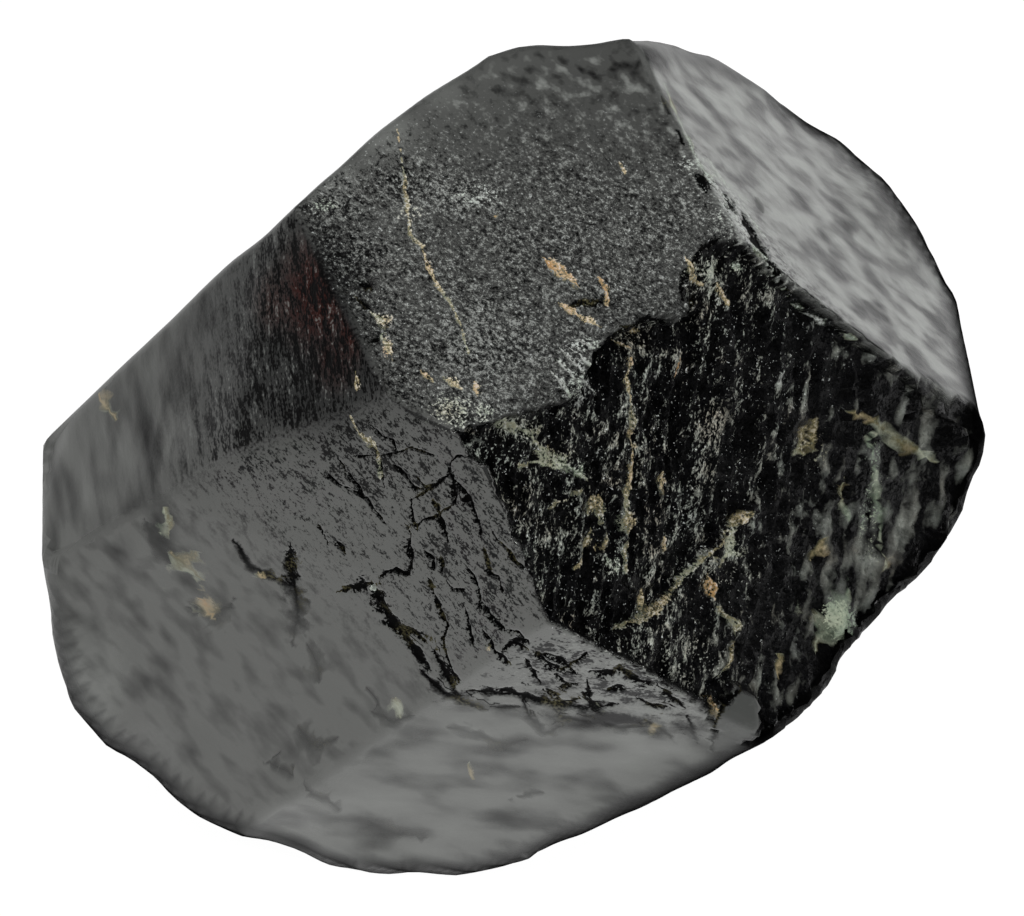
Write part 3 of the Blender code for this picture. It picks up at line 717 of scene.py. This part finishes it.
def stone_mesh(settings):
    """The stone's fine mesh in metres, with what the material needs kept on its points."""
    directions, squares, cube = sphere_directions()
    points, out = rounded_surface(directions)
    pixel = 1 / PIXELS_PER_MM

    # Outside the drawn outline of the broken face, the faces beside it go on a little over its plane
    whole, whole_out = rounded_surface(directions, "broken_front")
    outside = -inside_distance(to_picture(points), BROKEN_OUTLINE) * pixel
    outside += RAGGED * field(points, RAGGED_SIZE, octaves=3, seed=6.5)
    further = np.linalg.norm(whole, axis=1) - np.linalg.norm(points, axis=1)
    goes_on = (outside > 0.0) & (further < LEDGE_MOST)
    points = points + directions * (smooth(outside, -0.08, 0.08) * np.minimum(further, LEDGE_MOST))[:, None]
    out = np.where(goes_on[:, None], whole_out, out)
    places = to_picture(points)
    seen = out @ TO_CAMERA > 0.02
    gaps = gap_by_finish(points)

    # The broken face ends at its drawn outline, and a little below its plane
    outline = inside_distance(places, BROKEN_OUTLINE)
    outline = np.minimum(outline, -inside_distance(places, POLISHED_PATCH)) * pixel
    broken = np.minimum(outline, BROKEN_REACH - gaps["broken"])
    broken -= RAGGED * field(points, RAGGED_SIZE, octaves=3, seed=6.5)
    other = np.stack([gaps[finish] for finish in FINISHES if finish != "broken"])
    others = np.array([finish for finish in FINISHES if finish != "broken"])
    worn = np.where(broken > 0, "broken", others[other.argmin(axis=0)])
    grains = {FINISHES[finish][2:5]: [] for finish in others}
    for finish, gap in zip(others, other):
        grains[FINISHES[finish][2:5]].append(gap)
    lowest = np.partition(np.stack([np.min(found, axis=0) for found in grains.values()]), 1, axis=0)
    plain = 1 - smooth(lowest[1] - lowest[0], 0.10, 0.30) * smooth(np.abs(broken), 0.05, 0.15)
    beside = {finish: np.stack([gaps[name] for name in FINISHES
                                if name not in (finish, "broken")]).min(axis=0)
              for finish in ("ground", "dark_bevel", "bevel")}
    ground = np.minimum(beside["ground"] - gaps["ground"], -broken)
    bevel = np.maximum(beside["bevel"] - gaps["bevel"], beside["dark_bevel"] - gaps["dark_bevel"])

    vein_side, vein_near, vein_tint = drawn_lines(points, places, seen, VEINS, *VEIN_SWING)
    cracks = [(0.0, *crack) for crack in CRACKS]
    crack_side, crack_near, _ = drawn_lines(points, places, seen, cracks, *CRACK_SWING)
    hue = field(points, 1.6, octaves=2, seed=16.0)
    crust, crust_tint = np.zeros(len(points)), 0.40 + 0.30 * hue
    crust[seen], which = patch_field(places[seen], [patch[:4] + patch[5:] for patch in CRUSTS])
    patch_tint = np.array([patch[4] for patch in CRUSTS])[which] + 0.12 * hue[seen]
    crust_tint[seen] = np.where(crust[seen] > 0, patch_tint, crust_tint[seen])

    depth, hollow = (np.zeros(len(points)) for _ in range(2))
    here = broken > -0.2
    depth[here], hollow[here] = carve_broken(points[here], broken[here], settings)
    here = ground > 0
    depth[here] += carve_ground(points[here], ground[here])
    here = bevel > 0
    depth[here] += carve_bevel(points[here], bevel[here])
    crisp = smooth(points @ TO_CAMERA, *WORN_DEPTH)
    opened = (1 - smooth(crack_near, 0.3, 1.4)) * smooth(-broken, 0.0, 0.3) * crisp
    depth += settings.cracks / MM * opened
    depth += WAVES * field(points, 5.0, seed=11.0)
    near_outline = smooth(out @ TO_CAMERA, -0.6, -0.3)
    for across, down, radius, height in SWELLS:
        away = np.hypot(places[:, 0] - across, places[:, 1] - down)
        depth -= height * near_outline * (1 - smooth(away, 0.2 * radius, radius))
    depth[facet_gap(points, "base") < 0.02] = 0.0
    grain = grain_places(points, places, worn)
    patchy = field(points, 1.8, octaves=2, seed=12.5)
    points = points - out * depth[:, None] + HEART
    points[:, 2] = np.maximum(points[:, 2], 0.0)

    # Each square is cut in two along its more bulging diagonal, so that edges stay straight
    bulge = [np.linalg.norm(points[squares[:, first]] + points[squares[:, first + 2]] - 2 * HEART, axis=1)
             for first in (0, 1)]
    turned = np.where((bulge[1] > bulge[0])[:, None], np.roll(squares, -1, axis=1), squares)
    triangles = np.concatenate([turned[:, [0, 1, 2]], turned[:, [0, 2, 3]]])
    mesh = bpy.data.meshes.new("tourmaline_surface")
    mesh.from_pydata((points * MM).tolist(), [], triangles.tolist())

    add_map(mesh, cube[triangles])

    def patches(table):
        """How much of a table's soft patches there is at each point that the camera sees."""
        amount = np.zeros(len(points))
        amount[seen] = patch_field(places[seen], table)[0]
        return amount

    kept = {
        "broken": broken, "ground": ground, "crust": crust, "crust_tint": crust_tint,
        "vein_side": vein_side, "vein_near": vein_near, "vein_tint": vein_tint + 0.15 * hue,
        "crack_side": crack_side, "crack_near": crack_near, "crisp": crisp, "plain": plain,
        "brown": patches(BROWNS) * smooth(-ground, 0.0, 0.4)}
    under = {finish: gap for finish, gap in gaps.items() if finish != "broken"}
    for name in ("dark", "light", "edge", "lift", "pale", "relief", "rough", "gloss"):
        kept[name] = np.where(broken > 0, getattr(FINISHES["broken"], name), blended(under, name))
    # Painted light on the broken face's ridges
    kept["light"] += RIDGE_LIGHT * hollow
    # Patches of light marks, and fewer of them near the border: painted shadow under the faces that stand
    # over it
    kept["light"] += (broken > 0) * (PATCHY * patchy + BORDER_SHADE * (1 - smooth(broken, 0.1, 0.5)))
    kept["light"] += (broken > 0) * (QUIET_MORE * patches(QUIET) - WORN_LIGHT * (1 - crisp) ** 2)
    kept["lift"] *= np.where(broken > 0, WORN_LIFT + (1 - WORN_LIFT) * crisp, 1.0)
    rough = np.isin(worn, ROUGH_FINISHES)
    # Painted shade in the broken face's hollows
    kept["dark"] += HOLLOW_DARK * hollow + PATCHY * 0.6 * patchy * (broken < 0)
    kept["edge"] *= 1 + np.where(rough, *WORN_EDGES) * (1 - crisp)
    kept["dark"] += WORN_DARK * (1 - crisp) * ~rough
    on_patch = seen & (inside_distance(places, POLISHED_PATCH) > -3)
    pitted = patches(PITTED) * (broken < 0)
    kept["dark"] += PITTED_MORE * pitted - 0.3 * on_patch
    kept["edge"] *= 1 - PITTED_EDGE * np.clip(pitted, 0.0, 1.0)
    kept["gloss"] *= 1 - patches(DIMMED)
    # Painted highlights, added to the whitening of fine scratches
    kept["pale"] += patches(PAINTED_HIGHLIGHTS) * (broken < 0)
    # Painted shade along the picture's outline: less mirror light and paleness there, more dark marks
    rim = painted_rim_shade(places)
    kept["level"] = (1 - rim) ** 1.5 * (1 - PATCH_LOSS * on_patch)
    rim *= RIM_LOSS
    kept["gloss"] *= 1 - rim
    kept["deep"] = np.where(np.isin(worn, SHALLOW_MARKED), *MARK_DEPTHS)
    kept["pale"] *= 1 - rim
    kept["dark"] += RIM_DARK * rim * rim
    # Fewer light marks on the painted rim shade, more at scuffs and painted highlights of the top
    kept["light"] += RIM_LIGHT * rim - SCUFF_AND_HIGHLIGHT_MORE * patches(SCUFFS_AND_HIGHLIGHTS)
    for name, values in kept.items():
        layer = mesh.attributes.new(name, "FLOAT", "POINT")
        layer.data.foreach_set("value", values.astype(np.float32))
    layer = mesh.attributes.new("grain", "FLOAT_VECTOR", "POINT")
    layer.data.foreach_set("vector", grain.astype(np.float32).ravel())
    mesh.shade_smooth()
    return mesh


# ---- Materials ----

def add(tree, kind, inputs=(), **settings):
    """Adds a node. Inputs maps a socket's name or number to a value or to another node's output."""
    node = tree.nodes.new(kind)
    for name, value in settings.items():
        setattr(node, name, value)
    for socket, value in dict(inputs).items():
        if isinstance(value, bpy.types.NodeSocket):
            tree.links.new(value, node.inputs[socket])
        else:
            node.inputs[socket].default_value = value
    return node


def tourmaline_material(finish):
    """Black tourmaline: cut and polished by wheel, ground matte on top, broken in front.

    Polished, it mirrors its surroundings dimly like black glass (IOR 1.64). Ground, the same stone
    looks dark grey. Broken, it is black with grains of about 0.2 mm that glint.
    """
    material = bpy.data.materials.new("black tourmaline, polished, ground and broken")
    material.use_nodes = True
    tree = material.node_tree
    shader = tree.nodes["Principled BSDF"]
    shader.inputs["IOR"].default_value = TOURMALINE_IOR
    shader.inputs["Metallic"].default_value = 0.0

    def math_node(operation, first, second=0.0, third=0.0, clamp=False):
        """One sum on numbers or outputs."""
        return add(tree, "ShaderNodeMath", {0: first, 1: second, 2: third}, operation=operation,
                   use_clamp=clamp).outputs[0]

    def times(*values):
        """The product of numbers or outputs."""
        product = values[0]
        for value in values[1:]:
            product = math_node("MULTIPLY", product, value)
        return product

    def ramp(value, low, high, to_low=0.0, to_high=1.0):
        """Evenly from to_low at low to to_high at high."""
        return add(tree, "ShaderNodeMapRange", {
            "Value": value, "From Min": low, "From Max": high,
            "To Min": to_low, "To Max": to_high}).outputs[0]

    def kept(name, output="Fac"):
        """A value kept on the mesh."""
        return add(tree, "ShaderNodeAttribute", attribute_name=name).outputs[output]

    def noise_at(vector, scale, detail, rough):
        """Noise around 0.5."""
        return add(tree, "ShaderNodeTexNoise", {
            "Vector": vector, "Scale": scale, "Detail": detail, "Roughness": rough}).outputs["Fac"]

    def tone(share, first, second):
        """Mixes two colours, given as outputs or as names of the finish's colours."""
        codes = [to_linear(getattr(finish, value)) if isinstance(value, str) else value
                 for value in (first, second)]
        return add(tree, "ShaderNodeMix", {0: share, 6: codes[0], 7: codes[1]}, data_type="RGBA").outputs[2]

    def blend(share, first, second):
        """Mixes two numbers."""
        return add(tree, "ShaderNodeMix", {0: share, 2: first, 3: second}).outputs[0]

    def scaled(vector, factor):
        """A vector times a number."""
        return add(tree, "ShaderNodeVectorMath", {0: vector, "Scale": factor}, operation="SCALE").outputs[0]

    def worn_to_crisp(at_worn, at_crisp, worn_end=0.0, crisp_end=1.0):
        """Evenly from one number where the grain is worn smooth to another where it is crisp."""
        return ramp(crisp, worn_end, crisp_end, at_worn, at_crisp)

    place = scaled(add(tree, "ShaderNodeTexCoord").outputs["Object"], 1 / MM)
    crisp = kept("crisp")
    octaves = worn_to_crisp(*GRAIN_CRISP)
    fresh = noise_at(kept("grain", "Vector"), 1.0, GRAIN_OCTAVES, octaves)
    worn = noise_at(kept("grain", "Vector"), GRAIN_WORN, 2.0, octaves)
    plain = kept("plain")
    fresh = blend(plain, fresh, 0.5)
    streak = blend(times(math_node("SUBTRACT", 1.0, crisp), math_node("SUBTRACT", 1.0, plain)), fresh, worn)
    fine = noise_at(place, FINE_GRAIN, 2.0, 0.6)
    rag = times(math_node("SUBTRACT", fine, 0.5), worn_to_crisp(0.2, 1.0))

    # Finishes with ragged borders, and their dark and light marks
    broken = ramp(math_node("MULTIPLY_ADD", rag, 0.5, kept("broken")), *BROKEN_BORDER)
    ground = ramp(math_node("MULTIPLY_ADD", rag, 0.4, kept("ground")), *GROUND_BORDER)
    edge = kept("edge")
    mixed_grain = math_node("MULTIPLY_ADD", rag, ramp(broken, 0.0, 1.0, *FINE_SHARE), streak)
    dark = math_node("DIVIDE", math_node("SUBTRACT", kept("dark"), mixed_grain), edge, clamp=True)
    light_from = math_node("MULTIPLY_ADD", kept("crust"), -0.10, kept("light"))
    light = math_node("DIVIDE", math_node("SUBTRACT", mixed_grain, light_from), edge, clamp=True)
    sparkle = ramp(crisp, 0.2, 0.6)

    # Veins and cracks: a crooked band around each line, broken up by grain
    wobble = math_node("MULTIPLY_ADD", rag, 4.5, times(math_node("SUBTRACT", streak, 0.5), 3.0))
    band = math_node("ABSOLUTE", math_node("ADD", kept("vein_side"), wobble))
    vein = times(ramp(band, worn_to_crisp(*VEIN_WIDTHS), worn_to_crisp(0.0, 1.0)),
                 ramp(kept("vein_near"), 2.8, 2.0), worn_to_crisp(0.6, 1.0, 0.0, 0.6),
                 blend(sparkle, 1.0, times(ramp(fine, 0.32, 0.42), ramp(streak, 0.36, 0.44))))
    band = math_node("ABSOLUTE", math_node("ADD", kept("crack_side"), wobble))
    crack = times(ramp(band, worn_to_crisp(*CRACK_WIDTHS, 0.0, 0.7), worn_to_crisp(-0.4, 0.9, 0.0, 0.7)),
                  ramp(kept("crack_near"), 3.0, 2.2), worn_to_crisp(0.45, 1.0, 0.0, 0.4))
    crust = math_node("MULTIPLY_ADD", kept("crust"), 0.17, times(math_node("ADD", fine, streak), 0.5))
    crust = times(ramp(crust, 0.60, 0.67), ramp(kept("crust"), 0.02, 0.15))

    # Colours
    mineral_share = math_node("MULTIPLY_ADD", rag, 1.0, blend(vein, kept("crust_tint"), kept("vein_tint")))
    mineral = add(tree, "ShaderNodeValToRGB", {0: mineral_share})
    stops = mineral.color_ramp.elements
    stops[0].color, stops[1].color = to_linear(finish.grey), to_linear(finish.orange)
    minerals = ((0.20, finish.green), (0.38, finish.pale), (0.52, finish.dull), (0.75, finish.tan))
    for position, code in minerals:
        stops.new(position).color = to_linear(code)
    # Vein grains: darker between them, and painted highlights in the glint colour on the brightest
    grains = tone(times(ramp(fine, 0.54, 0.40), 0.60, sparkle), mineral.outputs[0], "shade")
    grains = tone(times(ramp(fine, 0.54, 0.64), 0.50, sparkle), grains, "glint")
    body = tone(ground, "body", "ground")
    body = tone(kept("pale"), body, "scuff")
    body = tone(times(kept("brown"), ramp(streak, 0.40, 0.55)), body, "brown")
    body = tone(broken, body, "broken")
    # Light marks take the fleck and scuff colours: partly pale crumbs and scratches, partly painted glints
    # of grains and small facets
    flecks = tone(broken, "scuff", tone(0.45, "fleck", mineral.outputs[0]))
    colour = tone(times(light, kept("lift")), body, flecks)
    # Dark marks and cracks take the hollow colour: painted shade in pits, cracks and between grains
    colour = tone(dark, colour, "hollow")
    inside_crack = times(crack, ramp(fine, 0.46, 0.62), ramp(kept("crust_tint"), 0.46, 0.66))
    colour = tone(crack, colour, "hollow")
    # Painted glints: the brightest grains painted near white, beside the extra mirror light they are given
    glints = math_node("MAXIMUM", times(broken, ramp(streak, 0.44, 0.56)), times(ground, 0.4))
    glints = times(ramp(fine, *BRIGHT_GRAINS), crisp, glints)
    colour = tone(glints, colour, "glint")
    colour = tone(times(inside_crack, 0.45), colour, "dull")
    filled = math_node("MAXIMUM", vein, crust)
    colour = tone(filled, colour, grains)
    tree.links.new(colour, shader.inputs["Base Color"])

    # Roughness and the mirror light that pits leave, taken down in pits and cracks as painted shade
    rough = blend(math_node("MAXIMUM", filled, crack), kept("rough"), FILLED_ROUGH)
    tree.links.new(rough, shader.inputs["Roughness"])
    grain_gloss = math_node("MULTIPLY_ADD", glints, GLINT_GLOSS, ramp(light, 0.0, 0.6, *BROKEN_GLOSS))
    in_hollow = ramp(math_node("MAXIMUM", crack, dark), 0.0, 1.0, 1.0, HOLLOW_GLOSS)
    gloss = times(kept("gloss"), in_hollow, blend(broken, 1.0, grain_gloss))
    tree.links.new(scaled(MIRROR_TINT, gloss), shader.inputs["Specular Tint"])
    deep = math_node("MAXIMUM", crack, times(dark, kept("deep")))
    level = times(kept("level"), ramp(deep, 0.0, 1.0, *MIRROR_LEVELS))
    tree.links.new(level, shader.inputs["Specular IOR Level"])

    # Grains of the broken face, each turned its own way
    cells = add(tree, "ShaderNodeTexVoronoi", {"Vector": place, "Scale": GRAIN_CELLS, "Randomness": 1.0})
    turned = add(tree, "ShaderNodeVectorMath", {0: cells.outputs["Color"], 1: (0.5, 0.5, 0.5)},
                 operation="SUBTRACT").outputs[0]
    turned = scaled(turned, times(broken, GRAIN_TURN))
    normal = add(tree, "ShaderNodeNewGeometry").outputs["Normal"]
    normal = add(tree, "ShaderNodeVectorMath", {0: normal, 1: turned}, operation="ADD").outputs[0]
    normal = add(tree, "ShaderNodeVectorMath", {0: normal}, operation="NORMALIZE").outputs[0]

    # Relief finer than the mesh, in mm
    height = times(math_node("MULTIPLY_ADD", fine, 0.5, fresh), kept("relief"))
    relief = add(tree, "ShaderNodeBump", {
        "Height": height, "Distance": MM, "Strength": 1.0, "Normal": normal})
    tree.links.new(relief.outputs[0], shader.inputs["Normal"])
    return material


def table_material(glow):
    """Opal acrylic, matte and lit from below: an even white with hardly any shadow."""
    material = bpy.data.materials.new("opal acrylic, matte, lit from below")
    material.use_nodes = True
    shader = material.node_tree.nodes["Principled BSDF"]
    shader.inputs["Base Color"].default_value = to_linear("#484848")
    shader.inputs["Roughness"].default_value = 0.9
    shader.inputs["IOR"].default_value = 1.49
    shader.inputs["Specular IOR Level"].default_value = 0.0
    shader.inputs["Emission Color"].default_value = (1.0, 1.0, 1.0, 1.0)
    shader.inputs["Emission Strength"].default_value = glow
    return material


# ---- Operators ----

def put(context, name, data):
    """Adds an object to the scene."""
    thing = bpy.data.objects.new(name, data)
    context.scene.collection.objects.link(thing)
    return thing


def area_light(context, name, power, size, place):
    """Adds a round light at a place in metres that shines at the middle of the table."""
    light = bpy.data.lights.new(name, "AREA")
    light.shape = "DISK"
    light.size = size
    light.energy = power
    holder = put(context, name, light)
    holder.location = place
    holder.rotation_euler = Vector(place).to_track_quat("Z", "Y").to_euler()


class CRYSTAL_OT_stone(bpy.types.Operator):
    """Build the stone's fine surface and its finish over the solid"""

    bl_idname = "crystal.stone"
    bl_label = "Stone"

    def execute(self, context):
        mesh = stone_mesh(context.scene.crystal_stone)
        mesh.materials.append(tourmaline_material(context.scene.crystal_finish))
        stone = put(context, "crystal_surface", mesh)
        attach(stone, "root")
        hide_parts(NODE)
        return {"FINISHED"}


class CRYSTAL_OT_stage(bpy.types.Operator):
    """Build the lit table, the lights and the surroundings"""

    bl_idname = "crystal.stage"
    bl_label = "Stage"

    def execute(self, context):
        settings = context.scene.crystal_stage
        bm = bmesh.new()
        bmesh.ops.create_circle(bm, cap_ends=True, segments=96, radius=settings.table)
        mesh = bpy.data.meshes.new("table_top")
        bm.to_mesh(mesh)
        bm.free()
        mesh.materials.append(table_material(settings.glow))
        table = put(context, "table_top", mesh)

        area_light(context, "soft_box", settings.overhead, *SOFT_BOX)
        area_light(context, "key", settings.key, *KEY_LIGHT)

        world = bpy.data.worlds.new("studio")
        context.scene.world = world
        world.use_nodes = True
        tree = world.node_tree
        background = tree.nodes["Background"]
        way = add(tree, "ShaderNodeTexCoord").outputs["Generated"]
        high = add(tree, "ShaderNodeSeparateXYZ", {0: way}).outputs["Z"]
        room = add(tree, "ShaderNodeMapRange", {
            "Value": high, "From Min": -0.02, "From Max": 0.02,
            "To Min": ROOM_LIGHT[0], "To Max": ROOM_LIGHT[1]}).outputs[0]
        seen = add(tree, "ShaderNodeLightPath").outputs["Is Camera Ray"]
        level = add(tree, "ShaderNodeMix", {0: seen, 2: room, 3: 1.0}).outputs[0]
        tree.links.new(level, background.inputs["Strength"])
        background.inputs["Color"].default_value = (1.0, 1.0, 1.0, 1.0)
        context.scene.view_settings.view_transform = "Standard"
        return {"FINISHED"}


class CRYSTAL_OT_camera(bpy.types.Operator):
    """Place the camera in front of the broken corner, looking down at it"""

    bl_idname = "crystal.camera"
    bl_label = "Camera"

    def execute(self, context):
        camera = bpy.data.cameras.new("camera")
        camera.sensor_width = SENSOR
        camera.lens = PIXELS_PER_MM * CAMERA_DISTANCE * SENSOR / PICTURE[0]
        camera.clip_start = 0.01
        holder = put(context, "camera", camera)
        holder.location = Vector((HEART + LOOK_OUT * TO_CAMERA + CAMERA_DISTANCE * TO_CAMERA) * MM)
        holder.rotation_euler = Vector(TO_CAMERA).to_track_quat("Z", "Y").to_euler()
        context.scene.camera = holder
        return {"FINISHED"}


class CRYSTAL_PT_panel(bpy.types.Panel):
    """Lists the stone's and the stage's settings and buttons"""

    bl_label = "Tourmaline crystal"
    bl_idname = "CRYSTAL_PT_panel"
    bl_space_type = "VIEW_3D"
    bl_region_type = "UI"
    bl_category = "Crystal"

    def draw(self, context):
        layout = self.layout
        scene = context.scene
        for group in (scene.crystal_stone, scene.crystal_finish, scene.crystal_stage):
            box = layout.box()
            for name in group.__annotations__:
                box.prop(group, name)
        for operator in (CRYSTAL_OT_stage, CRYSTAL_OT_camera, CRYSTAL_OT_stone):
            layout.operator(operator.bl_idname)


CLASSES = (CrystalStone, CrystalFinish, CrystalStage, CRYSTAL_OT_stone, CRYSTAL_OT_stage,
           CRYSTAL_OT_camera, CRYSTAL_PT_panel)


def register():
    for cls in CLASSES:
        bpy.utils.register_class(cls)
    bpy.types.Scene.crystal_stone = bpy.props.PointerProperty(type=CrystalStone)
    bpy.types.Scene.crystal_finish = bpy.props.PointerProperty(type=CrystalFinish)
    bpy.types.Scene.crystal_stage = bpy.props.PointerProperty(type=CrystalStage)


def unregister():
    del bpy.types.Scene.crystal_stone
    del bpy.types.Scene.crystal_finish
    del bpy.types.Scene.crystal_stage
    for cls in reversed(CLASSES):
        bpy.utils.unregister_class(cls)


def main():
    register()
    bpy.ops.crystal.camera()
    bpy.ops.crystal.stage()
    bpy.ops.crystal.stone()


if __name__ == "__main__":
    main()
